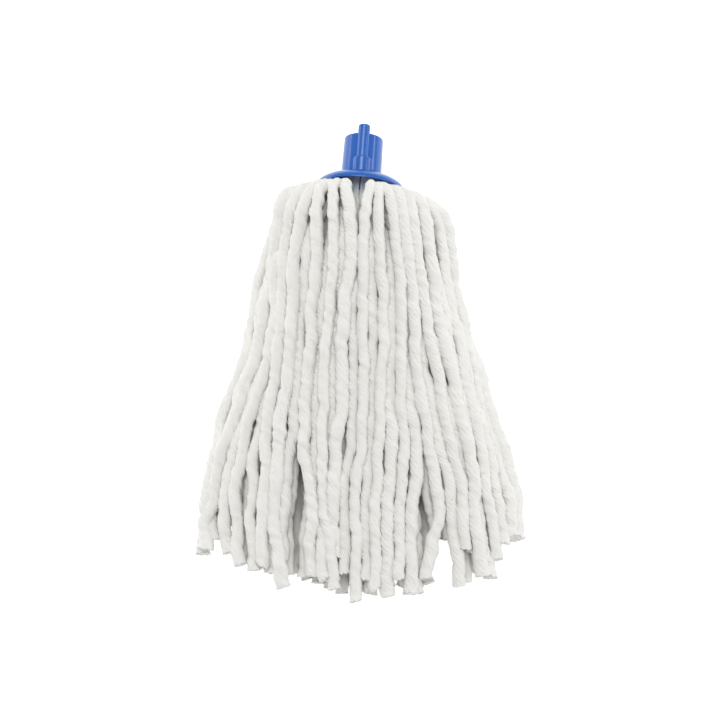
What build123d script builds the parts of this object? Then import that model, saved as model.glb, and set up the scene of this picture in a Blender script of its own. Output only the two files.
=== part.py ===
from build123d import *
import math
import os

# String mop head lying on a flat surface, millimetres. +Y is the way the handle leaves the socket, +Z is up,
# and the surface is z = 0. "s" is the distance behind the rim of the dome, along -Y.

# Where the head lies
HEAD_X = -19.95  # the socket's axis
RIM_Y = 125.12  # the plane of the dome's rim
AXIS_Z = 44.0  # the height of the socket's axis over the surface

# Handle socket, in its own frame: the axis is t, the rim of the dome is t = 0, the mouth is at the top
DOME_RADIUS = 33.0
DOME_HEIGHT = 12.0
DOME_WALL = 2.2
TUBE_FOOT_RADIUS = 14.8
TUBE_MOUTH_RADIUS = 14.25
TUBE_FOOT_T = 9.0
MOUTH_T = 39.8
MOUTH_ROUND = 0.9
BORE_RADIUS = 12.0
BORE_FLOOR_T = 2.0
HUB_RADIUS = 15.2
HUB_END_T = -4.0
RIB_RADIUS = 4.3
RIB_CENTRE = 13.8
RIB_TOP_T = 45.3
RIB_FOOT_RADIUS = 6.4
RIB_FOOT_CENTRE = 12.6
RIB_FOOT_TOP_T = 20.8
RIB_START_T = 7.0

# Clamp under the dome
RING_INNER = 15.3
RING_OUTER = 18.6
RING_TOP_T = 5.5
RING_END_T = -31.0
RING_ROUND = 1.2
RING_SLIT = 0.9
PLUG_RADIUS = 15.2
PLUG_TOP_T = -4.1
RIVET_RADIUS = 2.0
RIVET_CLEARANCE = 0.05
RIVET_HEAD_RADIUS = 4.5
RIVET_HEAD_HEIGHT = 1.8
RIVET_HEAD_ROUND = 1.0
RIVET_TOP_T = -1.2
RIVET_GAP = 0.1  # between the rivet's head and the plug, and past its other end
CUT_MARGIN = 1.0  # how far a cut runs past the piece it goes through

# Upper yarns
YARN_DIAMETER = 6.2  # the firm core of a yarn that is 7.6 mm thick over its loose fibres
YARN_EXIT_RADIUS = 22.0
YARNS_PER_LAYER = 16
LOCKS = 8
BEND = 0.45  # share of the shorter run that an arc takes
LEAN = 0.087  # the pile drifts this much to +X for each mm behind the place where it starts to
LEAN_START = 30.0
LOWEST_CENTRE = 4.0
REACH = 290.0  # how far behind the rim the middle yarns end
SIDE_SHORTFALL = 26.0  # how much nearer the outermost yarns end
LAYER_GAP = 7.7  # from the middle of a yarn to the middle of the one that lies on it
LEAST_DEPTH = 1.2

# Lower yarns, in bundles: distances behind the rim, with how far under the pile's upper outline they begin
UNDER_SECTORS = 6
UNDER_SPAN = 0.8  # share of the pile's outline, from the middle to the side, that they reach
UNDER_STATIONS = [(47.0, 15.0), (78.0, 10.8), (112.0, 9.0), (150.0, 8.2), (190.0, 7.0), (238.0, 6.2)]
UNDER_END_DEPTH = 6.2
UNDER_REACH = 296.0
SECTOR_GAP = 0.6

# The pile of yarns: distance behind the rim, half width, height of its crown, height of its widest line
PILE = [
    (0.0, 40.0, 76.0, 44.0),
    (20.0, 60.0, 81.0, 40.0),
    (48.0, 65.0, 76.0, 28.0),
    (92.0, 75.0, 62.0, 13.0),
    (140.0, 87.0, 50.0, 4.6),
    (190.0, 103.0, 41.0, 4.0),
    (238.0, 114.0, 34.0, 4.0),
    (290.0, 120.0, 29.0, 4.0),
]

# How each row of yarns leaves the clamp ring: where it leaves, how far behind that its first bend is at the
# side and how much further on top, the half width and crown there and the depth under them, then the place
# and the depth of the shoulder at the side and what the top adds to them
ROWS = {
    (0, 0): (4.0, (0.0, 11.4), (43.2, 80.6), 0.0, (17.0, 17.6), (0.0, -3.0)),
    (0, 1): (10.4, (0.0, 6.6), (46.5, 77.0), 1.8, (19.3, 12.6), (0.0, -3.0)),
    (1, 0): (18.0, (3.5, 12.1), (44.4, 75.2), 0.5, (33.7, 22.3), (6.7, -1.0)),
    (1, 1): (27.8, (0.2, 14.3), (39.3, 71.9), 7.0, (32.2, 23.2), (8.9, 1.3)),
}
LATER_STATIONS = [(62.0, 100.0, 145.0, 190.0, 238.0), (78.0, 112.0, 150.0, 190.0, 238.0)]


def pile_size(s):
    """Half width, crown height and height of the widest line of the pile, at a distance behind the rim."""
    for near, far in zip(PILE, PILE[1:]):
        if s <= far[0]:
            break
    share = (s - near[0]) / (far[0] - near[0])
    return [a + share * (b - a) for a, b in zip(near[1:], far[1:])]


def shell_angle(half_width, height, fraction):
    """The angle on a quarter ellipse at a share of its length from the top, and the quarter's length."""
    steps = 120
    lengths = [0.0]
    for n in range(steps):
        mid = math.pi / 2 * (n + 0.5) / steps
        piece = math.hypot(half_width * math.cos(mid), height * math.sin(mid)) * math.pi / 2 / steps
        lengths.append(lengths[-1] + piece)
    wanted = min(abs(fraction), 1.0) * lengths[-1]
    n = next(k for k in range(1, steps + 1) if lengths[k] >= wanted - 1e-9)
    part = (wanted - lengths[n - 1]) / (lengths[n] - lengths[n - 1])
    return math.copysign(math.pi / 2 * (n - 1 + part) / steps, fraction), lengths[-1]


def shell_point(size, fraction, depth):
    """Across and up, on the pile's upper outline at a share of the way from crown to side, and at a depth."""
    half_width, crown, widest = size
    height = crown - widest
    angle, _ = shell_angle(half_width, height, fraction)
    across, up = height * math.sin(angle), half_width * math.cos(angle)
    norm = math.hypot(across, up)
    x = half_width * math.sin(angle) - depth * across / norm
    return x, widest + height * math.cos(angle) - depth * up / norm


def layer_depth(s):
    """How far the second layer sinks between the yarns of the first, which stand further apart as they fan out."""
    half_width, crown, widest = pile_size(s)
    _, length = shell_angle(half_width, crown - widest, 0.0)
    half_pitch = length / YARNS_PER_LAYER
    return max(math.sqrt(max(0.0, LAYER_GAP**2 - half_pitch**2)), LEAST_DEPTH)


def drift(s):
    """How far to +X the middle of the pile lies from the socket's axis."""
    return LEAN * max(s - LEAN_START, 0.0)


def place(x, s, z):
    """A point of the pile, in the part's frame."""
    return Vector(HEAD_X + x + drift(s), RIM_Y - s, max(z, LOWEST_CENTRE))


def yarn_route(layer, number):
    """The points of one upper yarn's route, from the clamp ring to its cut end."""
    middle = (YARNS_PER_LAYER - 1) / 2
    shift = 0.5 / YARNS_PER_LAYER * (1 if layer else -1)
    fraction = (number - middle) * 2 / YARNS_PER_LAYER + shift
    turn = fraction * math.pi / 2
    top = math.cos(turn)
    start, bend_at, bend_size, bend_depth, shoulder_at, shoulder_depth = ROWS[layer, number % 2]
    points = [(YARN_EXIT_RADIUS * math.sin(turn), start, AXIS_Z + YARN_EXIT_RADIUS * top)]
    x, z = shell_point((*bend_size, AXIS_Z), fraction, bend_depth * top)
    points.append((x, start + bend_at[0] + bend_at[1] * top, z))
    s = shoulder_at[0] + shoulder_at[1] * top
    x, z = shell_point(pile_size(s), fraction, shoulder_depth[0] + shoulder_depth[1] * top)
    points.append((x, s, z))
    for s in (*LATER_STATIONS[layer], REACH - SIDE_SHORTFALL * fraction**2):
        depth = layer_depth(s) if layer else 0.0
        x, z = shell_point(pile_size(s), fraction, depth)
        points.append((x, s, z))
    return [place(*p) for p in points]


def cord_tube(points, diameter):
    """A round tube along straight runs joined by tangent arcs, with its length and its smallest radius."""
    radii = []
    for a, b, c in zip(points, points[1:], points[2:]):
        half_turn = math.radians((b - a).get_angle(c - b)) / 2
        radii.append(BEND * min((b - a).length, (c - b).length) / math.tan(half_turn))
    path = FilletPolyline(*points, radius=radii)
    profile = Plane(origin=points[0], z_dir=points[1] - points[0]) * Circle(diameter / 2)
    return sweep(profile, path=path), path.length, min(radii)


def head_place(shape):
    """Turns a piece of the head from its own upright frame to where it lies, with its front facing up."""
    return Location((HEAD_X, RIM_Y, AXIS_Z)) * Rotation(-90, 0, 0) * shape


def upright_cylinder(radius, low, high, y=0.0):
    return Pos(0, y, low) * Cylinder(radius, high - low, align=(Align.CENTER, Align.CENTER, Align.MIN))


def dome_shell(radius, height):
    """The solid under a flat-topped dome: half an ellipse turned about the axis."""
    arc = EllipticalCenterArc((0, 0), radius, height, start_angle=0, arc_size=90)
    outline = Wire([arc, Line((0, height), (0, 0)), Line((0, 0), (radius, 0))])
    return revolve(Plane.XZ * make_face(outline), Axis.Z)


def handle_socket():
    dome = dome_shell(DOME_RADIUS, DOME_HEIGHT) - dome_shell(DOME_RADIUS - DOME_WALL, DOME_HEIGHT - DOME_WALL)
    hub = upright_cylinder(HUB_RADIUS, HUB_END_T, DOME_HEIGHT - DOME_WALL)
    tube_length = MOUTH_T - TUBE_FOOT_T
    tube = Pos(0, 0, TUBE_FOOT_T) * Cone(
        TUBE_FOOT_RADIUS, TUBE_MOUTH_RADIUS, tube_length, align=(Align.CENTER, Align.CENTER, Align.MIN)
    )
    tube = fillet(tube.edges().group_by(Axis.Z)[-1], MOUTH_ROUND)
    rib = upright_cylinder(RIB_RADIUS, RIB_START_T, RIB_TOP_T, y=-RIB_CENTRE)
    rib = fillet(rib.edges().group_by(Axis.Z)[-1], MOUTH_ROUND)
    foot = upright_cylinder(RIB_FOOT_RADIUS, RIB_START_T, RIB_FOOT_TOP_T, y=-RIB_FOOT_CENTRE)
    foot = fillet(foot.edges().group_by(Axis.Z)[-1], MOUTH_ROUND)
    bore = upright_cylinder(BORE_RADIUS, BORE_FLOOR_T, RIB_TOP_T + CUT_MARGIN)
    rivet_hole = upright_cylinder(RIVET_RADIUS + RIVET_CLEARANCE, HUB_END_T - CUT_MARGIN, RIVET_TOP_T)
    return dome + hub + tube + rib + foot - bore - rivet_hole


def clamp_ring():
    ring = upright_cylinder(RING_OUTER, RING_END_T, RING_TOP_T)
    ring = fillet(ring.edges(), RING_ROUND)
    ring -= upright_cylinder(RING_INNER, RING_END_T - CUT_MARGIN, RING_TOP_T + CUT_MARGIN)
    depth, length = RING_OUTER - RING_INNER + CUT_MARGIN, RING_TOP_T - RING_END_T + CUT_MARGIN
    return ring - Pos(0, -RING_OUTER, RING_END_T) * Box(RING_SLIT, 2 * depth, 2 * length)


def core_plug():
    plug = upright_cylinder(PLUG_RADIUS, RING_END_T, PLUG_TOP_T)
    hole = upright_cylinder(RIVET_RADIUS + RIVET_CLEARANCE, RING_END_T - CUT_MARGIN, PLUG_TOP_T + CUT_MARGIN)
    return plug - hole


def plug_rivet():
    shank = upright_cylinder(RIVET_RADIUS, RING_END_T - RIVET_HEAD_HEIGHT / 2, RIVET_TOP_T - RIVET_GAP)
    head = upright_cylinder(RIVET_HEAD_RADIUS, RING_END_T - RIVET_HEAD_HEIGHT, RING_END_T - RIVET_GAP)
    head = fillet(head.edges().group_by(Axis.Z)[0], RIVET_HEAD_ROUND)
    return shank + head


def under_hank(number):
    """One bundle of the yarns beneath, from behind the clamp to its end, flat on the surface."""
    edges = [(-1 + 2 * (number + k) / UNDER_SECTORS) * UNDER_SPAN for k in (0, 1)]
    centre = sum(edges) / 2
    sections = []
    for s, depth in (*UNDER_STATIONS, (UNDER_REACH - SIDE_SHORTFALL * centre**2, UNDER_END_DEPTH)):
        size = pile_size(min(s, PILE[-1][0]))
        corners = []
        for fraction, inward in zip(edges, (SECTOR_GAP / 2, -SECTOR_GAP / 2)):
            x, z = shell_point(size, fraction, depth)
            corners.append((HEAD_X + drift(s) + x + inward, z))
        (left, left_z), (right, right_z) = corners
        y = RIM_Y - s
        outline = Polyline((left, y, 0), (right, y, 0), (right, y, right_z), (left, y, left_z), close=True)
        sections.append(make_face(outline))
    return loft(sections, ruled=True)


def save(name, shape):
    export_step(shape, f"parts/{name}.step")
    return shape.bounding_box()


def main():
    os.makedirs("parts", exist_ok=True)
    boxes = [save("handle_socket", head_place(handle_socket()))]
    boxes.append(save("clamp_ring", head_place(clamp_ring())))
    boxes.append(save("core_plug", head_place(core_plug())))
    boxes.append(save("plug_rivet", head_place(plug_rivet())))
    section = math.pi * YARN_DIAMETER**2 / 4
    for number in range(YARNS_PER_LAYER):
        lock = number * LOCKS // YARNS_PER_LAYER + 1
        for layer in (0, 1):
            letter = "abcd"[2 * layer + number % 2]
            tube, length, smallest = cord_tube(yarn_route(layer, number), YARN_DIAMETER)
            boxes.append(save(f"yarn_{lock}_{letter}", tube))
            off = tube.volume / (section * length) - 1
            print(f"yarn_{lock}_{letter} length {length:.0f} smallest radius {smallest:.0f} volume off {off:.4f}")
    for number in range(UNDER_SECTORS):
        boxes.append(save(f"under_hank_{number + 1}", under_hank(number)))
    low = [min(getattr(b.min, k) for b in boxes) for k in "XYZ"]
    high = [max(getattr(b.max, k) for b in boxes) for k in "XYZ"]
    print("box", [round(v, 2) for v in low], [round(v, 2) for v in high])
    print("centre", [round((a + b) / 2, 2) for a, b in zip(low, high)])


main()
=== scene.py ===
"""String mop head lying on a table: blue handle socket, pale clamp ring and a fan of twisted cotton yarns."""

import functools
import math
import random

import bmesh
import bpy
import numpy as np
from mathutils import Matrix, Vector


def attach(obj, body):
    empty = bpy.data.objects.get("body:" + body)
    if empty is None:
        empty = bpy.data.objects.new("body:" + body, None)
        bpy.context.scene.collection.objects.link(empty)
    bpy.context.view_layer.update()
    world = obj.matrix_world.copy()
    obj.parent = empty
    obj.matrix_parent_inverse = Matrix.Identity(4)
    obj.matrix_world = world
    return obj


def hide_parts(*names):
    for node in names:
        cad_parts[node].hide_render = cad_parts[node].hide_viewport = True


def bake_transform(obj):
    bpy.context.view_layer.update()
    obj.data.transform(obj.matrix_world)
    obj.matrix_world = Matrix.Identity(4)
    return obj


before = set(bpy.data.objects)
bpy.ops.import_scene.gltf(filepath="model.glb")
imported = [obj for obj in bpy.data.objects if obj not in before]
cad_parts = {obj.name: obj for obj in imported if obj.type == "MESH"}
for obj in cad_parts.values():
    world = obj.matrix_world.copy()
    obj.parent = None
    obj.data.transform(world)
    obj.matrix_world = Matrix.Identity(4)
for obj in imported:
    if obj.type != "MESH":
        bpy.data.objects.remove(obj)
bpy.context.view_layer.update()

bl_info = {
    "name": "String Mop Head",
    "version": (1, 0, 0),
    "blender": (4, 5, 0),
    "location": "View3D > Sidebar > Mop Head",
    "description": "Builds the yarns, the socket and the clamp of a string mop head, and its stage",
    "category": "Object",
}

MM = 0.001

# Where the head lies, in millimetres: the socket's axis runs along +Y, and s is the distance behind the
# rim of its dome, along -Y
HEAD_X = -19.95
RIM_Y = 125.12
AXIS_Z = 44.0
LOWEST_CENTRE = 4.0
TABLE_CLEARANCE = 0.3

# Upper yarns, close to the routes of the CAD tubes
YARN_EXIT_RADIUS = 22.0
YARNS_PER_LAYER = 16
LOCKS = 8
LEAN = 0.087
LEAN_START = 30.0
REACH = 290.0
LAYER_GAP = 6.2
LEAST_DEPTH = 1.2
UPPER_LAST_RUN = 12.0

# Where a lock's bend would start and end: distances behind the rim, at these radii from the socket's axis.
# The points are worked out but not used.
BEND_START = (8.0, 24.0)
BEND_END = (52.0, 38.0)

# The pile of yarns: distance behind the rim, half width, height of its crown, height of its widest line
PILE = [
    (0.0, 40.0, 76.0, 44.0),
    (20.0, 60.0, 81.0, 40.0),
    (48.0, 65.0, 76.0, 28.0),
    (92.0, 75.0, 62.0, 13.0),
    (140.0, 87.0, 50.0, 4.6),
    (190.0, 103.0, 41.0, 4.0),
    (238.0, 114.0, 34.0, 4.0),
    (290.0, 120.0, 29.0, 4.0),
]

# How each row of yarns leaves the clamp ring: where it leaves, how far behind that its first bend is at the
# side and how much further on top, the half width and crown there and the depth under them, then the place
# and the depth of the shoulder at the side and what the top adds to them
ROWS = {
    (0, 0): (3.6, (0.0, 1.0), (45.5, 85.0), 0.0, (14.0, 15.0), (-2.5, -3.0)),
    (0, 1): (4.6, (0.0, 1.5), (48.0, 84.5), 0.5, (17.0, 11.0), (-2.5, -3.0)),
    (1, 0): (12.0, (3.5, 9.0), (45.4, 76.5), 0.5, (28.0, 18.3), (3.7, -1.0)),
    (1, 1): (19.0, (0.2, 10.0), (42.3, 74.0), 4.0, (28.2, 19.2), (5.9, 1.3)),
}
# Where the upper yarns of each layer lie, apart from the even fan: the stations behind the shoulder, then for
# each yarn how far behind the rim it ends, and how far to the side of its even place it is at the shoulder,
# at each station and at its end
STATIONS = [
    (62.0, 81.0, 100.0, 122.0, 145.0, 168.0, 190.0, 214.0, 238.0, 264.0),
    (78.0, 95.0, 112.0, 131.0, 150.0, 170.0, 190.0, 214.0, 238.0, 264.0),
]
MOVES = {
    (0, 0): (267, (2, -2, -3, 0, 3, -2, -3, 0, 1, 3, 4, 4)),
    (0, 1): (263, (5, 8, 6, 8, 6, 2, -1, -2, -7, -8, -6, -6)),
    (0, 2): (273, (2, 4, 5, 9, 8, 5, -1, -3, -6, -3, 3, 4)),
    (0, 3): (273, (1, -2, 0, 2, 3, 2, 2, 4, 5, 6, 7, 6)),
    (0, 4): (286, (1, -2, -2, 1, 0, -1, -3, -4, -5, -6, 1, 4)),
    (0, 5): (277, (2, 3, 4, 3, 3, 2, 1, 2, 9, 10, 10, 10)),
    (0, 6): (285, (2, 5, 4, 1, 1, -1, 0, 0, 0, 3, 5, 7)),
    (0, 7): (262, (2, 4, 0, -2, -3, -3, -4, -8, -10, -10, -10, -10)),
    (0, 8): (292, (2, 2, 0, 0, 0, 1, 1, -1, -6, -5, -6, -7)),
    (0, 9): (283, (1, 1, 3, 3, 0, -2, -5, -7, -10, -10, -10, -10)),
    (0, 10): (274, (1, 3, 4, 3, 0, -1, -1, -3, -5, -8, -10, -10)),
    (0, 11): (273, (-2, -2, 0, -2, -3, -1, 3, 4, 6, 4, -5, -6)),
    (0, 12): (250, (-5, -3, -3, -4, 2, 0, 3, 8, 10, 8, 10, 9)),
    (0, 13): (268, (-4, -3, -4, -3, -1, 0, 2, 4, 4, 0, 0, 4)),
    (0, 14): (256, (2, 1, 0, 1, 0, 0, 0, -3, -2, 0, 1, 2)),
    (0, 15): (240, (4, 3, 3, 3, 3, 3, 4, 4, 3, 0, -3, -3)),
    (1, 0): (256, (2, 4, 2, 5, 5, 2, 0, -1, -2, -2, 2, 2)),
    (1, 1): (265, (6, 8, 7, 11, 8, 6, 0, -2, -3, -4, 0, 3)),
    (1, 2): (276, (2, 1, 4, 5, 7, 4, 1, 0, 1, 2, 6, 6)),
    (1, 3): (277, (1, -3, -1, 1, 1, -1, -2, -1, 0, -1, 4, 5)),
    (1, 4): (267, (-2, -2, -3, -3, -3, -2, -3, -5, -7, -7, -7, -7)),
    (1, 5): (279, (3, 5, 3, 3, 2, 0, 1, 2, 3, 9, 7, 10)),
    (1, 6): (267, (4, 6, 3, -2, 0, -2, -2, -6, -8, -6, -3, -4)),
    (1, 7): (273, (3, -3, -2, -1, -1, 0, -1, -4, -10, -10, -10, -10)),
    (1, 8): (277, (2, 1, 2, 2, 2, -1, -2, -4, -7, -10, -9, -9)),
    (1, 9): (287, (6, 6, 4, 2, 0, -1, -2, -4, -5, -9, -10, -9)),
    (1, 10): (284, (2, 2, 1, -1, -3, -1, 1, 1, -4, -7, -9, -10)),
    (1, 11): (276, (-2, -1, -3, -2, 1, 2, 3, 7, 9, 9, 10, 10)),
    (1, 12): (252, (-8, -5, -5, -3, 0, 2, 4, 8, 8, 7, 5, 5)),
    (1, 13): (269, (1, -1, -2, -1, 0, 0, 2, -2, -3, -4, -2, 1)),
    (1, 14): (244, (3, 2, 2, 1, 1, 1, 2, 1, 1, -1, -2, -3)),
    (1, 15): (240, (2, 2, 4, 6, 6, 6, 6, 6, 5, 1, -2, -3)),
}

# The middle yarns of the first layer part at the clamp ring: how far to the side each of their first three
# points is moved
PARTING = {
    5: (-1.5, -2.5, -1.5),
    6: (-5.0, -4.0, 0.0),
    7: (-5.5, -4.5, 1.8),
    8: (7.5, 6.0, 1.0),
    9: (5.0, 3.0, 0.0),
}

# Lower yarns: one row that fills the pile from beneath, with its depth at each station, and one that lies on
# the table
FILL_YARNS = 20
FLOOR_YARNS = 26
DECLARED_LOWER = 8
HANKS = 6
FLOOR_LAST_RUN = 8.0
FILL_STATIONS = [(50.0, 11.0), (85.0, 10.5), (115.0, 10.0), (150.0, 9.5), (190.0, 9.0), (238.0, 8.5)]
FLOOR_STATIONS = (62.0, 90.0, 125.0, 165.0, 205.0, 245.0)
LOWER_EXIT_RADIUS = 20.5

# Two notches in the row of cut ends: between which shares of the half width they are, and where the lower
# yarns end there
SHORT_ENDS = [(-0.9, -0.77, 228.0), (0.44, 0.58, 243.0)]

# Yarns that would pass through each other are moved apart in cross-sections behind the shoulder, as far as
# their limits allow: where the first section is, how far apart they are, how often the yarns are moved, how
# near they may lie as a share of their thickness, and the limits of an upper and of a lower yarn. Overlaps
# that need more than that, and those before the first section, stay.
SETTLE_FROM = 36.0
SETTLE_STEP = 5.0
SETTLE_ROUNDS = 70
SETTLE_NEARNESS = 0.9
UPPER_LIMIT = 2.5
LOWER_LIMIT = 5.0

# A yarn's slight sway: wavelengths and sizes
SWAYS = ((55.0, 0.8), (32.0, 0.55), (19.0, 0.2))

# A yarn's unevenness: wavelengths and sizes, in metres and as shares of its radius
LUMPS = ((0.045, 0.045), (0.03, 0.04), (0.02, 0.03), (0.012, 0.018), (0.008, 0.012))
MOST_LUMP = 0.22

# The stage, in metres
AIM = (-0.01096, 0.00307, 0.030)
LIGHTS = [
    ("left_softbox", (-1.3, 0.2, 0.22), (-0.02, 0.14, 0.06), (1.2, 0.2), 2.6, (1, 0.99, 0.97)),
    ("right_softbox", (1.2, 0.2, 0.55), (-0.02, 0.14, 0.06), (1.2, 0.1), 3.0, (0.97, 0.97, 1)),
    ("top_softbox", (-0.1, 0.5, 1.65), (-0.02, -0.02, 0.03), (0.9, 0.9), 12.0, (1, 1, 1)),
]


def pile_size(s):
    """Half width, crown height and height of the widest line of the pile, at a distance behind the rim."""
    for near, far in zip(PILE, PILE[1:]):
        if s <= far[0]:
            break
    share = (min(s, PILE[-1][0]) - near[0]) / (far[0] - near[0])
    return [a + share * (b - a) for a, b in zip(near[1:], far[1:])]


def shell_angle(half_width, height, fraction):
    """The angle on a quarter ellipse at a share of its length from the top, and the quarter's length."""
    steps = 120
    lengths = [0.0]
    for n in range(steps):
        mid = math.pi / 2 * (n + 0.5) / steps
        piece = math.hypot(half_width * math.cos(mid), height * math.sin(mid)) * math.pi / 2 / steps
        lengths.append(lengths[-1] + piece)
    wanted = min(abs(fraction), 1.0) * lengths[-1]
    n = next(k for k in range(1, steps + 1) if lengths[k] >= wanted - 1e-9)
    part = (wanted - lengths[n - 1]) / (lengths[n] - lengths[n - 1])
    return math.copysign(math.pi / 2 * (n - 1 + part) / steps, fraction), lengths[-1]


def shell_point(size, fraction, depth):
    """Across and up, on the pile's upper outline at a share of the way from crown to side, and at a depth."""
    half_width, crown, widest = size
    height = crown - widest
    angle, _ = shell_angle(half_width, height, fraction)
    across, up = height * math.sin(angle), half_width * math.cos(angle)
    norm = math.hypot(across, up)
    x = half_width * math.sin(angle) - depth * across / norm
    return x, widest + height * math.cos(angle) - depth * up / norm


def layer_depth(s):
    """How far the second layer sinks between the yarns of the first, which part as they fan out."""
    half_width, crown, widest = pile_size(s)
    _, length = shell_angle(half_width, crown - widest, 0.0)
    half_pitch = length / YARNS_PER_LAYER
    return max(math.sqrt(max(0.0, LAYER_GAP**2 - half_pitch**2)), LEAST_DEPTH)


def drift(s):
    """How far to +X the middle of the pile lies from the socket's axis."""
    return LEAN * max(s - LEAN_START, 0.0)


def place(x, s, z):
    """A point of the pile, in metres in the part's frame."""
    return Vector((HEAD_X + x + drift(s), RIM_Y - s, max(z, LOWEST_CENTRE))) * MM


def upper_route(layer, number, rng):
    """The points of one upper yarn's route, from the clamp ring to its cut end."""
    middle = (YARNS_PER_LAYER - 1) / 2
    shift = 0.5 / YARNS_PER_LAYER * (1 if layer else -1)
    fraction = (number - middle) * 2 / YARNS_PER_LAYER + shift
    turn = fraction * math.pi / 2
    top = math.cos(turn)
    start, bend_at, bend_size, bend_depth, shoulder_at, shoulder_depth = ROWS[layer, number % 2]
    end, moves = MOVES[layer, number]
    points = [(YARN_EXIT_RADIUS * math.sin(turn), start, AXIS_Z + YARN_EXIT_RADIUS * top)]
    x, z = shell_point((*bend_size, AXIS_Z), fraction, bend_depth * top)
    points.append((x, start + bend_at[0] + bend_at[1] * top, z))
    shoulder = shoulder_at[0] + shoulder_at[1] * top
    known = (shoulder, *STATIONS[layer], max(end, STATIONS[layer][-1] + 1))
    for s in (shoulder, *(s for s in STATIONS[layer] if s < end - UPPER_LAST_RUN), end):
        if s == shoulder:
            depth = shoulder_depth[0] + shoulder_depth[1] * top
        else:
            depth = layer_depth(s) if layer else 0.0
        x, z = shell_point(pile_size(s), fraction, depth)
        moved = x + float(np.interp(s, known, moves))
        half_width, crown, widest = pile_size(s)
        z += dome(moved, half_width, crown - widest) - dome(x, half_width, crown - widest)
        points.append((moved + rng.uniform(-0.6, 0.6), s, z + rng.uniform(-0.7, 0.7)))
    if layer == 0:
        for k, across in enumerate(PARTING.get(number, ())):
            x, s, z = points[k]
            points[k] = (x + across, s, z)
    return [place(*p) for p in points]


def dome(x, half_width, height):
    """How high the pile's outline is above its widest line, at a place across."""
    return height * math.sqrt(max(0.0, 1 - (x / half_width) ** 2))


def lower_reach(side, rng):
    """How far behind the rim a lower yarn ends: those at the sides and in the notches are shorter."""
    for near, far, reach in SHORT_ENDS:
        if near < side < far:
            return reach
    return REACH - 6.0 + rng.uniform(-7, 4) - 40.0 * abs(side) ** 3 - 6.0 * max(side, 0.0)


def fill_route(number, rng):
    """A lower yarn's route, under the two upper layers."""
    fraction = (number + 0.5) * 2 / FILL_YARNS - 1
    turn = fraction * math.pi / 2
    start = 14.0 + 6.0 * (number % 2)
    points = [
        (LOWER_EXIT_RADIUS * math.sin(turn), start, AXIS_Z + LOWER_EXIT_RADIUS * math.cos(turn)),
        (30.0 * math.sin(turn), start + 9.0, AXIS_Z + 28.0 * math.cos(turn) - 3.0),
    ]
    for s, depth in (*FILL_STATIONS, (lower_reach(fraction, rng), 10.0)):
        x, z = shell_point(pile_size(s), fraction * 0.93, depth)
        points.append((x + rng.uniform(-2.5, 2.5), s, z + rng.uniform(-1.5, 1.0)))
    return [place(*p) for p in points]


def floor_route(number, rng):
    """The route of a lower yarn that comes out under the clamp ring and lies on the table."""
    side = (number + 0.5) * 2 / FLOOR_YARNS - 1
    turn = math.pi - side * math.radians(84)
    start = 8.0 + 9.0 * (number % 2)
    points = [
        (LOWER_EXIT_RADIUS * math.sin(turn), start, AXIS_Z + LOWER_EXIT_RADIUS * math.cos(turn)),
        (36.0 * math.sin(turn), start + 3.0, AXIS_Z + 34.0 * math.cos(turn)),
    ]
    half_width, _, widest = pile_size(30.0)
    points.append((side * half_width * 0.86, start + 24.0, 5.0 + (widest - 6.0) * abs(side) ** 3))
    reach = lower_reach(side, rng)
    for s in (*(s for s in FLOOR_STATIONS if s < reach - FLOOR_LAST_RUN), reach):
        half_width, _, widest = pile_size(s)
        x = side * half_width * 0.955 + rng.uniform(-2.5, 2.5)
        points.append((x, s, LOWEST_CENTRE + max(widest - 6.0, 0.0) * abs(side) ** 3 * 0.8))
    return [place(*p) for p in points]


# Settings


class MopYarnSettings(bpy.types.PropertyGroup):
    """Sizes and colours of the yarns."""

    thickness: bpy.props.FloatProperty(
        name="Thickness", description="Over the loose fibres", default=0.0091, unit="LENGTH", precision=4
    )
    plies: bpy.props.IntProperty(name="Plies", description="Strands twisted into one yarn", default=8, min=2)
    pitch: bpy.props.FloatProperty(
        name="Twist pitch", description="Length of one full turn of the plies", default=0.030, unit="LENGTH"
    )
    groove: bpy.props.FloatProperty(
        name="Groove depth", description="Between two plies", default=0.00065, unit="LENGTH", precision=5
    )
    hairs: bpy.props.IntProperty(name="Loose fibres", description="On one upper yarn", default=150, min=0)
    bright: bpy.props.FloatVectorProperty(
        name="Cotton", description="Colour of the ridges", default=(0.91, 0.908, 0.897), subtype="COLOR"
    )
    # Painted shade: this darker, warm colour stands for the shade in the grooves and deep in the pile; the
    # fibre streaks and clouds also mix towards it.
    shade: bpy.props.FloatVectorProperty(
        name="Grooves", description="Colour of the grooves", default=(0.63, 0.618, 0.588), subtype="COLOR"
    )


class MopPlasticSettings(bpy.types.PropertyGroup):
    """Colours of the moulded pieces."""

    socket: bpy.props.FloatVectorProperty(
        name="Socket",
        description="Colour of the handle socket",
        default=(0.008, 0.105, 0.44),
        subtype="COLOR",
    )
    clamp: bpy.props.FloatVectorProperty(
        name="Clamp",
        description="Colour of the ring and the plug",
        default=(0.86, 0.85, 0.87),
        subtype="COLOR",
    )
    rivet: bpy.props.FloatVectorProperty(
        name="Rivet", description="Colour of the rivet", default=(0.60, 0.60, 0.62), subtype="COLOR"
    )


class MopStageSettings(bpy.types.PropertyGroup):
    """The table, the even light and the camera."""

    floor: bpy.props.FloatVectorProperty(
        name="Table", description="Colour of the table", default=(0.93, 0.93, 0.93), subtype="COLOR"
    )
    sky: bpy.props.FloatProperty(name="Room light", description="Strength of the even light", default=0.585)
    lens: bpy.props.FloatProperty(name="Lens", description="Focal length in millimetres", default=62.53)
    distance: bpy.props.FloatProperty(
        name="Distance", description="From the middle of the mop head", default=0.9, unit="LENGTH"
    )
    elevation: bpy.props.FloatProperty(
        name="Elevation", description="Above the table", default=math.radians(78.84), unit="ROTATION"
    )
    roll: bpy.props.FloatProperty(
        name="Roll", description="Turns the picture", default=math.radians(4.2), unit="ROTATION"
    )


# Shader nodes


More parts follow.
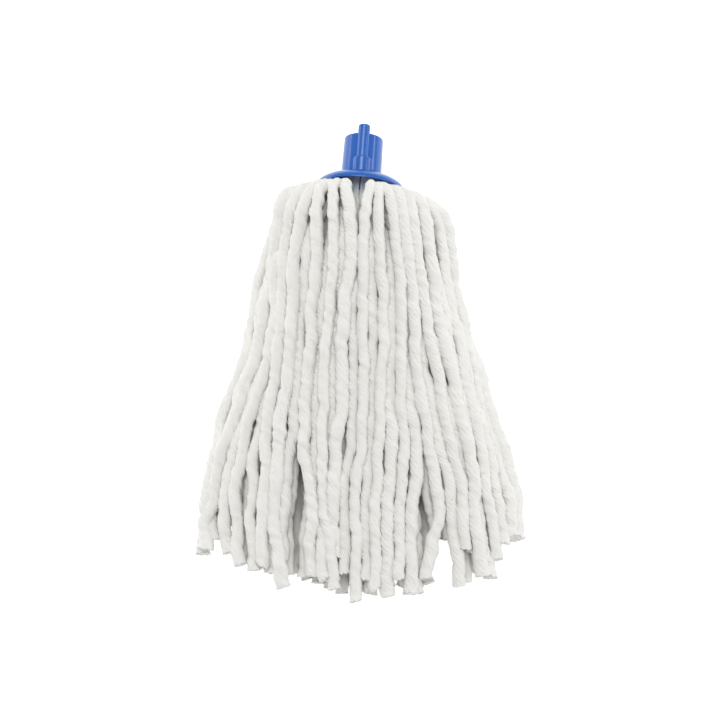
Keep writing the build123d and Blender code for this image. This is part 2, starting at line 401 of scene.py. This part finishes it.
class Wire:
    """A shader socket that can be used in sums."""

    def __init__(self, nodes, socket):
        self.nodes = nodes
        self.socket = socket

    def maths(self, operation, *operands):
        return self.nodes.add("ShaderNodeMath", {"operation": operation}, dict(enumerate(operands)))

    def __add__(self, other):
        return self.maths("ADD", self, other)

    def __radd__(self, other):
        return self.maths("ADD", other, self)

    def __sub__(self, other):
        return self.maths("SUBTRACT", self, other)

    def __rsub__(self, other):
        return self.maths("SUBTRACT", other, self)

    def __mul__(self, other):
        return self.maths("MULTIPLY", self, other)

    def __rmul__(self, other):
        return self.maths("MULTIPLY", other, self)


class Finish:
    """A material and its nodes."""

    def __init__(self, name):
        self.material = bpy.data.materials.new(name)
        self.material.use_nodes = True
        self.tree = self.material.node_tree
        self.tree.nodes.clear()

    def add(self, kind, settings=None, inputs=None, out=0):
        """One node: its settings, then the values or links of its sockets. Gives the wire of its output."""
        node = self.tree.nodes.new(kind)
        for name, value in (settings or {}).items():
            setattr(node, name, value)
        for name, value in (inputs or {}).items():
            socket = node.inputs[name]
            if isinstance(value, Wire):
                self.tree.links.new(value.socket, socket)
            elif isinstance(value, (tuple, list)) and socket.type == "RGBA":
                socket.default_value = (*value[:3], 1)
            else:
                socket.default_value = value
        return Wire(self, node.outputs[out])

    def mix(self, share, a, b):
        """Two colours mixed."""
        settings = {"data_type": "RGBA"}
        return self.add("ShaderNodeMix", settings, {0: share, 6: a, 7: b}, out=2)

    def surface(self, **inputs):
        """The shader itself, joined to the output."""
        named = {name.replace("_", " "): value for name, value in inputs.items()}
        shader = self.add("ShaderNodeBsdfPrincipled", None, named)
        output = self.tree.nodes.new("ShaderNodeOutputMaterial")
        self.tree.links.new(shader.socket, output.inputs["Surface"])
        return self.material


def yarn_finish(settings):
    """Soft cotton: fibres along the plies, painted shade in the grooves between the plies and on the yarns
    lying deeper in the pile, and a random tint of its own for each yarn.
    """
    finish = Finish("cotton_yarn")
    fibre = finish.add("ShaderNodeAttribute", {"attribute_name": "fibre"}, out=1)
    groove = finish.add("ShaderNodeAttribute", {"attribute_name": "groove"}, out=2)
    tint_and_depth_shade = finish.add("ShaderNodeAttribute", {"attribute_name": "tint_and_depth_shade"}, out=2)
    strands = finish.add(
        "ShaderNodeTexNoise", None, {"Vector": fibre, "Scale": 7.0, "Detail": 4.0, "Roughness": 0.6}
    )
    place_on = finish.add("ShaderNodeTexCoord", None, None, out=3)
    wool = finish.add(
        "ShaderNodeTexNoise", None, {"Vector": place_on, "Scale": 900.0, "Detail": 3.0, "Roughness": 0.65}
    )
    clouds = finish.add("ShaderNodeTexNoise", None, {"Vector": place_on, "Scale": 60.0, "Detail": 2.0})
    # Painted shade: the mix goes towards the darker colour in the grooves between the plies and for yarns
    # lying deeper in the pile (the per-yarn attribute); the fibre and cloud noise and the random part of each
    # yarn's tint are the cotton's own unevenness.
    shade = groove * 0.92 + (strands - 0.5) * 0.9 + (clouds - 0.5) * 0.4 + tint_and_depth_shade - 0.08
    colour = finish.mix(shade, tuple(settings.bright), tuple(settings.shade))
    height = strands * 0.6 + wool * 0.4 - groove * 0.5
    bump = finish.add("ShaderNodeBump", None, {"Strength": 0.8, "Distance": 0.0007, "Height": height})
    return finish.surface(
        Base_Color=colour,
        Roughness=0.95,
        Normal=bump,
        Specular_IOR_Level=0.15,
        Sheen_Weight=0.35,
        Sheen_Roughness=0.5,
    )


def plastic_finish(name, colour, roughness, coat, wear):
    """Moulded plastic with faint flow marks, fine scratches and a slightly uneven gloss."""
    finish = Finish(name)
    at = finish.add("ShaderNodeTexCoord", None, None, out=3)
    flow = finish.add("ShaderNodeTexNoise", None, {"Vector": at, "Scale": 35.0, "Detail": 3.0})
    along = finish.add("ShaderNodeMapping", None, {"Vector": at, "Scale": (900.0, 40.0, 900.0)})
    scratches = finish.add("ShaderNodeTexNoise", None, {"Vector": along, "Scale": 1.0, "Detail": 2.0})
    pale = tuple(min(1.0, c * 1.12 + 0.015) for c in colour)
    tint = finish.mix((flow - 0.35) * 0.8, tuple(colour), pale)
    gloss = (flow - 0.5) * wear + (scratches - 0.5) * wear + roughness
    height = flow * 0.6 + scratches * 0.1
    bump = finish.add("ShaderNodeBump", None, {"Strength": 0.12, "Distance": 0.0006, "Height": height})
    return finish.surface(
        Base_Color=tint, Roughness=gloss, Normal=bump, Coat_Weight=coat, Coat_Roughness=0.08, IOR=1.5
    )


def clamp_finish(colour):
    """Cloudy unpigmented plastic."""
    finish = Finish("clamp_pale")
    at = finish.add("ShaderNodeTexCoord", None, None, out=3)
    cloud = finish.add("ShaderNodeTexNoise", None, {"Vector": at, "Scale": 120.0, "Detail": 3.0})
    dark = tuple(c * 0.72 for c in colour)
    tint = finish.mix(cloud, tuple(colour), dark)
    gloss = (cloud - 0.5) * 0.2 + 0.42
    bump = finish.add("ShaderNodeBump", None, {"Strength": 0.2, "Distance": 0.0003, "Height": cloud})
    return finish.surface(Base_Color=tint, Roughness=gloss, Normal=bump, Subsurface_Weight=0.2)


def metal_finish(colour):
    """Plain zinc-plated steel."""
    finish = Finish("rivet_steel")
    at = finish.add("ShaderNodeTexCoord", None, None, out=3)
    grain = finish.add("ShaderNodeTexNoise", None, {"Vector": at, "Scale": 500.0, "Detail": 4.0})
    gloss = (grain - 0.5) * 0.25 + 0.38
    bump = finish.add("ShaderNodeBump", None, {"Strength": 0.2, "Distance": 0.0002, "Height": grain})
    return finish.surface(Base_Color=tuple(colour), Metallic=1.0, Roughness=gloss, Normal=bump)


# Yarns


def smooth_line(points):
    """Points along the NURBS spline that has the route's points as its control points."""
    curve = bpy.data.curves.new("route", "CURVE")
    curve.dimensions = "3D"
    curve.resolution_u = 24
    spline = curve.splines.new("NURBS")
    spline.points.add(len(points) - 1)
    for control, point in zip(spline.points, points):
        control.co = (*point, 1)
    spline.order_u = 3
    spline.use_endpoint_u = True
    carrier = bpy.data.objects.new("route", curve)
    mesh = bpy.data.meshes.new_from_object(carrier)
    line = np.array([v.co for v in mesh.vertices], float)
    bpy.data.objects.remove(carrier)
    bpy.data.curves.remove(curve)
    bpy.data.meshes.remove(mesh)
    if np.linalg.norm(line[0] - np.array(points[0])) > np.linalg.norm(line[-1] - np.array(points[0])):
        line = line[::-1]
    return line


def along(line, stations):
    """Points of a line at distances from its start."""
    steps = np.linalg.norm(np.diff(line, axis=0), axis=1)
    lengths = np.concatenate([[0.0], np.cumsum(steps)])
    return np.stack([np.interp(stations, lengths, line[:, k]) for k in range(3)], 1)


def line_length(line):
    return float(np.linalg.norm(np.diff(line, axis=0), axis=1).sum())


def unit(vectors):
    return vectors / np.maximum(np.linalg.norm(vectors, axis=-1, keepdims=True), 1e-12)


def carried_frames(centres):
    """The tangent and two sideways directions at each point, carried along with no twist of their own."""
    tangents = unit(np.gradient(centres, axis=0))
    side = np.cross(tangents[0], (0.0, 0.0, 1.0))
    sides = []
    for tangent in tangents:
        side = side - tangent * (side @ tangent)
        side = side / np.linalg.norm(side)
        sides.append(side)
    sides = np.array(sides)
    return tangents, sides, np.cross(tangents, sides)


class YarnBlank:
    """A straight tube with closed ends and its loose fibres, which every yarn of one kind is shaped from."""

    CAP = 4

    def __init__(self, name, around, rings, hairs, hair_steps=5):
        self.rings, self.hairs, self.hair_steps = rings, hairs, hair_steps
        whole = bmesh.new()
        tube = self.rod(around, rings)
        fibre = self.rod(3, hair_steps)
        whole.from_mesh(tube)
        for _ in range(hairs):
            whole.from_mesh(fibre)
        for face in whole.faces:
            face.smooth = True
        self.mesh = bpy.data.meshes.new(name)
        whole.to_mesh(self.mesh)
        whole.free()
        self.tube_size, self.hair_size = len(tube.vertices), len(fibre.vertices)
        flat = np.zeros(len(self.mesh.vertices) * 3)
        self.mesh.vertices.foreach_get("co", flat)
        points = flat.reshape(-1, 3)
        self.angle = np.arctan2(points[:, 1], points[:, 0])
        self.spoke = np.hypot(points[:, 0], points[:, 1])
        self.ring = points[:, 2]
        bpy.data.meshes.remove(tube)
        bpy.data.meshes.remove(fibre)

    @staticmethod
    def rod(around, rings):
        """A tube of unit radius with one ring of points at each whole height."""
        bm = bmesh.new()
        bmesh.ops.create_cone(
            bm, cap_ends=True, cap_tris=True, segments=around, radius1=1.0, radius2=1.0, depth=float(rings)
        )
        bmesh.ops.translate(bm, verts=bm.verts, vec=(0.0, 0.0, rings / 2))
        long_edges = [e for e in bm.edges if abs(e.verts[0].co.z - e.verts[1].co.z) > rings / 2]
        bmesh.ops.subdivide_edges(bm, edges=long_edges, cuts=rings - 1, use_grid_fill=True)
        bmesh.ops.triangulate(bm, faces=[f for f in bm.faces if len(f.verts) > 4])
        bmesh.ops.recalc_face_normals(bm, faces=bm.faces)
        mesh = bpy.data.meshes.new("rod")
        bm.to_mesh(mesh)
        bm.free()
        return mesh


class Course:
    """The rings of one yarn: how far along each is, its centre, its frame and how far its points are out."""

    def __init__(self, blank, line):
        rings, cap = blank.rings, blank.CAP
        self.line, self.length = line, line_length(line)
        self.body = np.linspace(0.0, self.length, rings - 2 * cap + 1)
        self.heights = np.concatenate([np.zeros(cap), self.body, np.full(cap, self.length)])
        rim = np.sin(np.linspace(0.25, 1.0, cap) * math.pi / 2)
        self.spokes = np.concatenate([rim, np.ones(rings - 2 * cap + 1), rim[::-1]])
        self.centres = along(line, self.heights)
        index = np.clip(np.arange(rings + 1) - cap, 0, len(self.body) - 1)
        self.tangents, self.sides, self.ups = (d[index] for d in carried_frames(along(line, self.body)))

    def nearest_ring(self, stations, cap):
        """The ring next to each distance along the yarn."""
        steps = len(self.body) - 1
        return np.clip(np.rint(stations / self.length * steps).astype(int) + cap, 0, len(self.heights) - 1)

    def outward(self, ring, angle):
        """The direction out from the centre of a ring, at an angle round it."""
        return self.sides[ring] * np.cos(angle)[:, None] + self.ups[ring] * np.sin(angle)[:, None]


def wave(s, wavelength, rng, across=0.0):
    """A wave along the yarn with a phase of its own."""
    return np.sin(across + 2 * math.pi * s / wavelength + rng.uniform(0, 6.28))


def twisted_surface(blank, course, radius, settings, rng):
    """The tube's points, fibre directions and grooves: twisted plies, uneven thickness, a tufted cut end."""
    n = blank.tube_size
    ring = np.clip(np.rint(blank.ring[:n]).astype(int), 0, blank.rings)
    pole = blank.spoke[:n] < 0.5
    angle = blank.angle[:n]
    s = course.heights[ring]
    spokes = course.spokes[ring]
    from_end = course.length - s
    twist = -2 * math.pi * s / settings.pitch + rng.uniform(0, 6.28)
    swirl = sum(rng.uniform(-0.35, 0.35) * wave(s, rng.uniform(0.02, 0.06), rng) for _ in range(3))
    ply_angle = angle - twist - swirl
    groove = 1.0 - np.abs(np.cos(ply_angle * settings.plies / 2))

    lumps = np.zeros(n)
    for wavelength, size in LUMPS:
        for turns in (0, 1, 2):
            share = rng.uniform(0.4, 1.0)
            lumps += size * share * wave(s, wavelength * rng.uniform(0.8, 1.25), rng, turns * ply_angle)
    lumps = MOST_LUMP * np.tanh(lumps / MOST_LUMP)
    fuzz = np.zeros(n)
    for _ in range(8):
        turns = rng.choice((3, 4, 5, 7))
        fuzz += 0.009 * wave(s, rng.uniform(0.0025, 0.006), rng, turns * ply_angle)
    flare = 1 + 0.12 * np.exp(-from_end / 0.005)
    pinch = 1 - 0.16 * np.exp(-((s / 0.022) ** 2))
    r = radius * flare * pinch * (1 + lumps + fuzz) - settings.groove * groove
    r = np.where(pole, 0.0, r * spokes)

    ragged = np.random.default_rng(rng.randrange(10**6)).uniform(-1, 1, n)
    tuft = 0.0004 * np.cos(ply_angle * settings.plies / 2) ** 2 + 0.00045 * ragged
    near_end = np.exp(-from_end / 0.0015) * np.where(pole, 0.3, 1.0)
    slant = rng.uniform(-0.25, 0.25) * radius * np.cos(angle + rng.uniform(0, 6.28)) * spokes
    push = near_end * (tuft + np.where(pole, 0.0, slant)) + near_end * 0.0006 * (1 - spokes * ~pole)
    points = course.centres[ring] + course.outward(ring, angle) * r[:, None]
    points += course.tangents[ring] * push[:, None]
    softened = np.where(s > course.length - 1e-6, 0.35 * spokes**2 + 0.25 * ragged, 1.0)
    fibre = np.stack([np.cos(ply_angle), np.sin(ply_angle), s / 0.012], 1)
    return points, fibre, groove * softened * np.where(pole, 0.0, 1.0)


def loose_fibre(blank, course, radius, loop, rng):
    """The same for one loose fibre, which lies along the yarn or stands off it in a small loop."""
    own = slice(blank.tube_size, blank.tube_size + blank.hair_size)
    share = blank.ring[own] / blank.hair_steps
    angle = blank.angle[own]
    at = rng.uniform(0.06, 1.0) * course.length
    reach = rng.uniform(0.002, 0.007)
    heading = rng.uniform(0, 6.28)
    bow = rng.uniform(-0.9, 0.9) * np.sin(share * math.pi) * 0.3
    s = np.clip(at + reach * (np.cos(heading) * share - np.sin(heading) * bow), 0.0, course.length + 0.001)
    turn = rng.uniform(0, 6.28) + reach / radius * (np.sin(heading) * share + np.cos(heading) * bow)
    lift = 0.0017 if loop else rng.choice((0.0004, 0.0006, 0.0009, 0.0014))
    rise = np.sin(share * math.pi * (1.0 if loop else rng.choice((0.5, 1.0))))
    ring = course.nearest_ring(s, blank.CAP)
    normal = course.outward(ring, turn)
    spine = along(course.line, s) + normal * (radius * 0.92 + lift * rise)[:, None]
    thin = 0.00013 if loop else 0.00004 + 0.00004 * (1 - share)
    out = course.tangents[ring] * np.cos(angle)[:, None] + normal * np.sin(angle)[:, None]
    points = spine + out * (thin * blank.spoke[own])[:, None]
    return points, np.stack([np.cos(angle), np.sin(angle), share], 1), np.full(blank.hair_size, -0.25)


def make_yarn(name, blank, line, radius, settings, rng, tint_and_depth_shade):
    """One twisted yarn along a line, with its loose fibres. Gives the object and its length."""
    course = Course(blank, line)
    parts = [twisted_surface(blank, course, radius, settings, rng)]
    for number in range(blank.hairs):
        parts.append(loose_fibre(blank, course, radius, number % 30 == 0, rng))
    points, fibres, grooves = (np.concatenate(values) for values in zip(*parts))
    points[:, 2] = np.maximum(points[:, 2], TABLE_CLEARANCE * MM)

    mesh = blank.mesh.copy()
    mesh.name = name
    mesh.vertices.foreach_set("co", points.astype(np.float32).ravel())
    # The groove attribute and the per-yarn darkening carry painted shade into the cotton colour: darker
    # grooves between the plies and darker yarns deeper in the pile.
    for label, kind, slot, values in (
        ("fibre", "FLOAT_VECTOR", "vector", fibres),
        ("groove", "FLOAT", "value", grooves),
        ("tint_and_depth_shade", "FLOAT", "value", np.full(len(points), tint_and_depth_shade)),
    ):
        attribute = mesh.attributes.new(label, kind, "POINT")
        attribute.data.foreach_set(slot, values.astype(np.float32).ravel())
    mesh.update()
    yarn = bpy.data.objects.new(name, mesh)
    bpy.context.scene.collection.objects.link(yarn)
    return yarn, course.length


def declare(radius):
    """Works out the yarn's thickness, twice its radius, and does nothing with it."""
    2 * radius


def yarn_material():
    return bpy.data.materials.get("cotton_yarn") or yarn_finish(bpy.context.scene.mop_yarns)


def section_line(line, stations):
    """Across and up, where a line passes each station behind the rim."""
    return np.stack([np.interp(stations, RIM_Y - line[:, 1], line[:, k]) for k in (0, 2)], 1)


def settle(routes, radii, limits):
    """The yarns' lines, moved apart where they would pass through each other, each within its limit."""
    stations = np.arange(SETTLE_FROM, REACH + 20.0, SETTLE_STEP)
    lines = [smooth_line(points) / MM for points in routes]
    reach = np.array([RIM_Y - line[-1][1] for line in lines])
    there = stations[None, :] <= reach[:, None]
    guide = np.stack([section_line(line, stations) for line in lines])
    radii, limits = np.array(radii) / MM, np.array(limits)
    rng = np.random.default_rng(7)
    for wavelength, size in SWAYS:
        phase = rng.uniform(0, 2 * math.pi, (len(lines), 1, 2))
        length = wavelength * rng.uniform(0.8, 1.25, (len(lines), 1, 2))
        sway = np.sin(2 * math.pi * stations[None, :, None] / length + phase)
        guide += size * sway * np.clip((stations - 40) / 30, 0, 1)[None, :, None] * (1.0, 0.5)
    guide[..., 1] = np.maximum(guide[..., 1], LOWEST_CENTRE)
    want = (radii[:, None] + radii[None, :]) * SETTLE_NEARNESS
    np.fill_diagonal(want, 0.0)
    both = there[:, None, :] & there[None, :, :]
    share = np.clip((stations - SETTLE_FROM) / 24.0, 0.0, 1.0)
    moved = np.zeros_like(guide)
    for _ in range(SETTLE_ROUNDS):
        now = guide + moved
        apart = now[:, None] - now[None, :]
        distance = np.maximum(np.linalg.norm(apart, axis=-1), 0.3)
        push = np.where(both, np.maximum(want[:, :, None] - distance, 0.0), 0.0)
        moved += (apart / distance[..., None] * push[..., None]).sum(1) * 0.3
        moved[:, 1:-1] = moved[:, 1:-1] * 0.6 + (moved[:, 2:] + moved[:, :-2]) * 0.2
        length = np.maximum(np.linalg.norm(moved, axis=-1), 1e-9)
        moved *= (np.minimum(length, limits[:, None] * share[None, :]) / length)[..., None] * 0.99
        moved[..., 1] = np.maximum(moved[..., 1], np.minimum(LOWEST_CENTRE, guide[..., 1]) - guide[..., 1])
    settled = guide + moved
    whole = []
    for k, points in enumerate(routes):
        kept = [p for p in points if RIM_Y - p.y / MM < SETTLE_FROM - 2.0]
        for n in np.flatnonzero(there[k] & (stations < reach[k] - 2.0)):
            x, z = settled[k, n]
            kept.append(Vector((x, RIM_Y - stations[n], z)) * MM)
        shift = moved[k, max(0, int(there[k].sum()) - 1)]
        last = points[-1] + Vector((shift[0], 0.0, shift[1])) * MM
        last.z = max(last.z, LOWEST_CENTRE * MM)
        whole.append(smooth_line([*kept, last]))
    return whole


@functools.cache
def all_yarns():
    """Every yarn's name, with its line and its radius, settled together."""
    thickness = bpy.context.scene.mop_yarns.thickness
    names, routes, radii, limits = [], [], [], []
    for layer in (0, 1):
        for number in range(YARNS_PER_LAYER):
            rng = random.Random(100 * layer + number)
            names.append((layer, number))
            routes.append(upper_route(layer, number, rng))
            radii.append(thickness / 2 * rng.uniform(0.88, 1.12))
            limits.append(UPPER_LIMIT)
    for kind, count, route in (("fill", FILL_YARNS, fill_route), ("floor", FLOOR_YARNS, floor_route)):
        for number in range(count):
            rng = random.Random(f"{kind}{number}")
            names.append((kind, number))
            routes.append(route(number, rng))
            radii.append(thickness / 2 * rng.uniform(0.9, 1.06))
            limits.append(LOWER_LIMIT)
    return dict(zip(names, zip(settle(routes, radii, limits), radii)))


def lock_point(turn, s, radius):
    """A point in the middle of a lock, at a turn and a radius round the socket's axis, in metres."""
    return Vector((HEAD_X + radius * math.sin(turn), RIM_Y - s, AXIS_Z + radius * math.cos(turn))) * MM


class MOP_OT_upper_yarns(bpy.types.Operator):
    """Makes the two upper layers of yarns, named in eight locks"""

    bl_idname = "mop.upper_yarns"
    bl_label = "Upper yarns"

    def execute(self, context):
        settings = context.scene.mop_yarns
        blank = YarnBlank("upper_blank", 40, 330, settings.hairs)
        material = yarn_material()
        for number in range(YARNS_PER_LAYER):
            lock = number * LOCKS // YARNS_PER_LAYER + 1
            turn = ((lock - 0.5) * 2 / LOCKS - 1) * math.pi / 2
            start, end = (lock_point(turn, *place_of) for place_of in (BEND_START, BEND_END))
            for layer in (0, 1):
                rng = random.Random(f"upper{layer}-{number}")
                letter = "abcd"[2 * layer + number % 2]
                line, radius = all_yarns()[layer, number]
                # Painted shade: the second layer, sunk between the yarns of the first, is mixed 0.1 further
                # towards the darker colour on top of its random tint.
                tint_and_depth_shade = rng.uniform(-0.12, 0.12) + 0.1 * layer
                name = f"cotton_yarn_{lock}_{letter}"
                yarn, length = make_yarn(name, blank, line, radius, settings, rng, tint_and_depth_shade)
                yarn.data.materials.append(material)
                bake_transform(yarn)
                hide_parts(f"yarn_{lock}_{letter}")
                declare(radius)
        bpy.data.meshes.remove(blank.mesh)
        return {"FINISHED"}


class MOP_OT_lower_yarns(bpy.types.Operator):
    """Makes the yarns beneath, which lie on the table and carry the head"""

    bl_idname = "mop.lower_yarns"
    bl_label = "Lower yarns"

    def execute(self, context):
        settings = context.scene.mop_yarns
        blank = YarnBlank("lower_blank", 24, 220, settings.hairs // 3)
        material = yarn_material()
        made = []
        for kind, count in (("fill", FILL_YARNS), ("floor", FLOOR_YARNS)):
            for number in range(count):
                rng = random.Random(f"{kind}-{number}")
                line, radius = all_yarns()[kind, number]
                name = f"cotton_yarn_{kind}_{number + 1}"
                # Painted shade: the lower yarns, deep under the upper layers, are mixed 0.1 to 0.3 towards
                # the darker colour.
                tint_and_depth_shade = rng.uniform(0.1, 0.3)
                yarn, length = make_yarn(name, blank, line, radius, settings, rng, tint_and_depth_shade)
                yarn.data.materials.append(material)
                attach(yarn, "mop_head")
                made.append((line[-1][1], number, yarn, line, length, radius))
                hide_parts(f"under_hank_{number * HANKS // count + 1}")
        for _, _, yarn, line, length, radius in sorted(made, key=lambda row: row[:2])[:DECLARED_LOWER]:
            declare(radius)
        bpy.data.meshes.remove(blank.mesh)
        return {"FINISHED"}


class MOP_OT_handle_socket(bpy.types.Operator):
    """Gives the moulded handle socket its glossy blue finish"""

    bl_idname = "mop.handle_socket"
    bl_label = "Handle socket"

    def execute(self, context):
        colour = tuple(context.scene.mop_plastic.socket)
        dress("handle_socket", plastic_finish("socket_blue", colour, 0.22, 0.15, 0.12))
        return {"FINISHED"}


class MOP_OT_clamp(bpy.types.Operator):
    """Gives the clamp ring, the plug and the rivet their finishes"""

    bl_idname = "mop.clamp"
    bl_label = "Clamp"

    def execute(self, context):
        pale = clamp_finish(tuple(context.scene.mop_plastic.clamp))
        dress("clamp_ring", pale)
        dress("core_plug", pale)
        dress("plug_rivet", metal_finish(tuple(context.scene.mop_plastic.rivet)))
        return {"FINISHED"}


def dress(node, material):
    """A CAD node with a better material in its own slots."""
    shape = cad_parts[node]
    if not shape.material_slots:
        raise RuntimeError(f"{node} has no material slot")
    for held in shape.material_slots:
        held.material = material


def add_light(name, stands_at, target, size, power, colour):
    """A rectangular soft light that faces its target."""
    data = bpy.data.lights.new(name, "AREA")
    data.shape = "RECTANGLE"
    data.size, data.size_y = size
    data.energy = power
    data.color = colour
    lamp = bpy.data.objects.new(name, data)
    lamp.location = stands_at
    lamp.rotation_mode = "QUATERNION"
    lamp.rotation_quaternion = (Vector(target) - Vector(stands_at)).to_track_quat("-Z", "Y")
    bpy.context.scene.collection.objects.link(lamp)


def lay_table(settings):
    """A plain white table top, lit a little from within so that it stays white."""
    bm = bmesh.new()
    bmesh.ops.create_grid(bm, x_segments=4, y_segments=4, size=2.5)
    mesh = bpy.data.meshes.new("table")
    bm.to_mesh(mesh)
    bm.free()
    table = bpy.data.objects.new("table", mesh)
    bpy.context.scene.collection.objects.link(table)
    finish = Finish("table_top")
    at = finish.add("ShaderNodeTexCoord", None, None, out=3)
    grain = finish.add("ShaderNodeTexNoise", None, {"Vector": at, "Scale": 40.0, "Detail": 3.0})
    tint = finish.mix(grain * 0.05, tuple(settings.floor), tuple(c * 0.97 for c in settings.floor))
    top = finish.surface(
        Base_Color=tint,
        Roughness=0.7,
        Specular_IOR_Level=0.2,
        Emission_Color=(1.0, 1.0, 1.0),
        Emission_Strength=0.58,
    )
    mesh.materials.append(top)


def light_room(settings):
    """Even light from all round, and soft lights at both sides and above."""
    world = bpy.data.worlds.new("studio")
    world.use_nodes = True
    back = world.node_tree.nodes["Background"]
    back.inputs["Color"].default_value = (1, 1, 1, 1)
    back.inputs["Strength"].default_value = settings.sky
    scene = bpy.context.scene
    scene.world = world
    scene.view_settings.view_transform = "Standard"
    for light in LIGHTS:
        add_light(*light)


def set_camera(settings):
    """The camera looks down on the head from the side of its cut ends, slightly rolled."""
    roll, rise = settings.roll, settings.elevation
    upright = Vector((-math.sin(roll), math.cos(roll), 0))
    back = Vector((0, 0, 1)) * math.sin(rise) - upright * math.cos(rise)
    up = upright * math.sin(rise) + Vector((0, 0, 1)) * math.cos(rise)
    turned = Matrix((up.cross(back), up, back)).transposed().to_4x4()
    data = bpy.data.cameras.new("camera")
    data.sensor_width = 36
    data.lens = settings.lens
    camera = bpy.data.objects.new("camera", data)
    camera.matrix_world = Matrix.Translation(Vector(AIM) + back * settings.distance) @ turned
    bpy.context.scene.collection.objects.link(camera)
    bpy.context.scene.camera = camera


class MOP_OT_stage(bpy.types.Operator):
    """Lays the table, sets the lights and the camera"""

    bl_idname = "mop.stage"
    bl_label = "Stage"

    def execute(self, context):
        settings = context.scene.mop_stage
        lay_table(settings)
        light_room(settings)
        set_camera(settings)
        return {"FINISHED"}


class MOP_PT_panel(bpy.types.Panel):
    """The steps that build the mop head"""

    bl_label = "Mop head"
    bl_idname = "MOP_PT_panel"
    bl_space_type = "VIEW_3D"
    bl_region_type = "UI"
    bl_category = "Mop Head"

    def draw(self, context):
        scene = context.scene
        for group in (scene.mop_yarns, scene.mop_plastic, scene.mop_stage):
            box = self.layout.box()
            for name in group.__annotations__:
                box.prop(group, name)
        for step in STEPS:
            self.layout.operator(step.bl_idname)


GROUPS = {"mop_yarns": MopYarnSettings, "mop_plastic": MopPlasticSettings, "mop_stage": MopStageSettings}
STEPS = (MOP_OT_handle_socket, MOP_OT_clamp, MOP_OT_upper_yarns, MOP_OT_lower_yarns, MOP_OT_stage)


def register():
    for name, group in GROUPS.items():
        bpy.utils.register_class(group)
        setattr(bpy.types.Scene, name, bpy.props.PointerProperty(type=group))
    for step in (*STEPS, MOP_PT_panel):
        bpy.utils.register_class(step)


def unregister():
    for step in (MOP_PT_panel, *reversed(STEPS)):
        bpy.utils.unregister_class(step)
    for name, group in reversed(GROUPS.items()):
        delattr(bpy.types.Scene, name)
        bpy.utils.unregister_class(group)


def main():
    register()
    bpy.ops.mop.handle_socket()
    bpy.ops.mop.clamp()
    bpy.ops.mop.upper_yarns()
    bpy.ops.mop.lower_yarns()
    bpy.ops.mop.stage()
    bpy.context.view_layer.update()


if __name__ == "__main__":
    main()
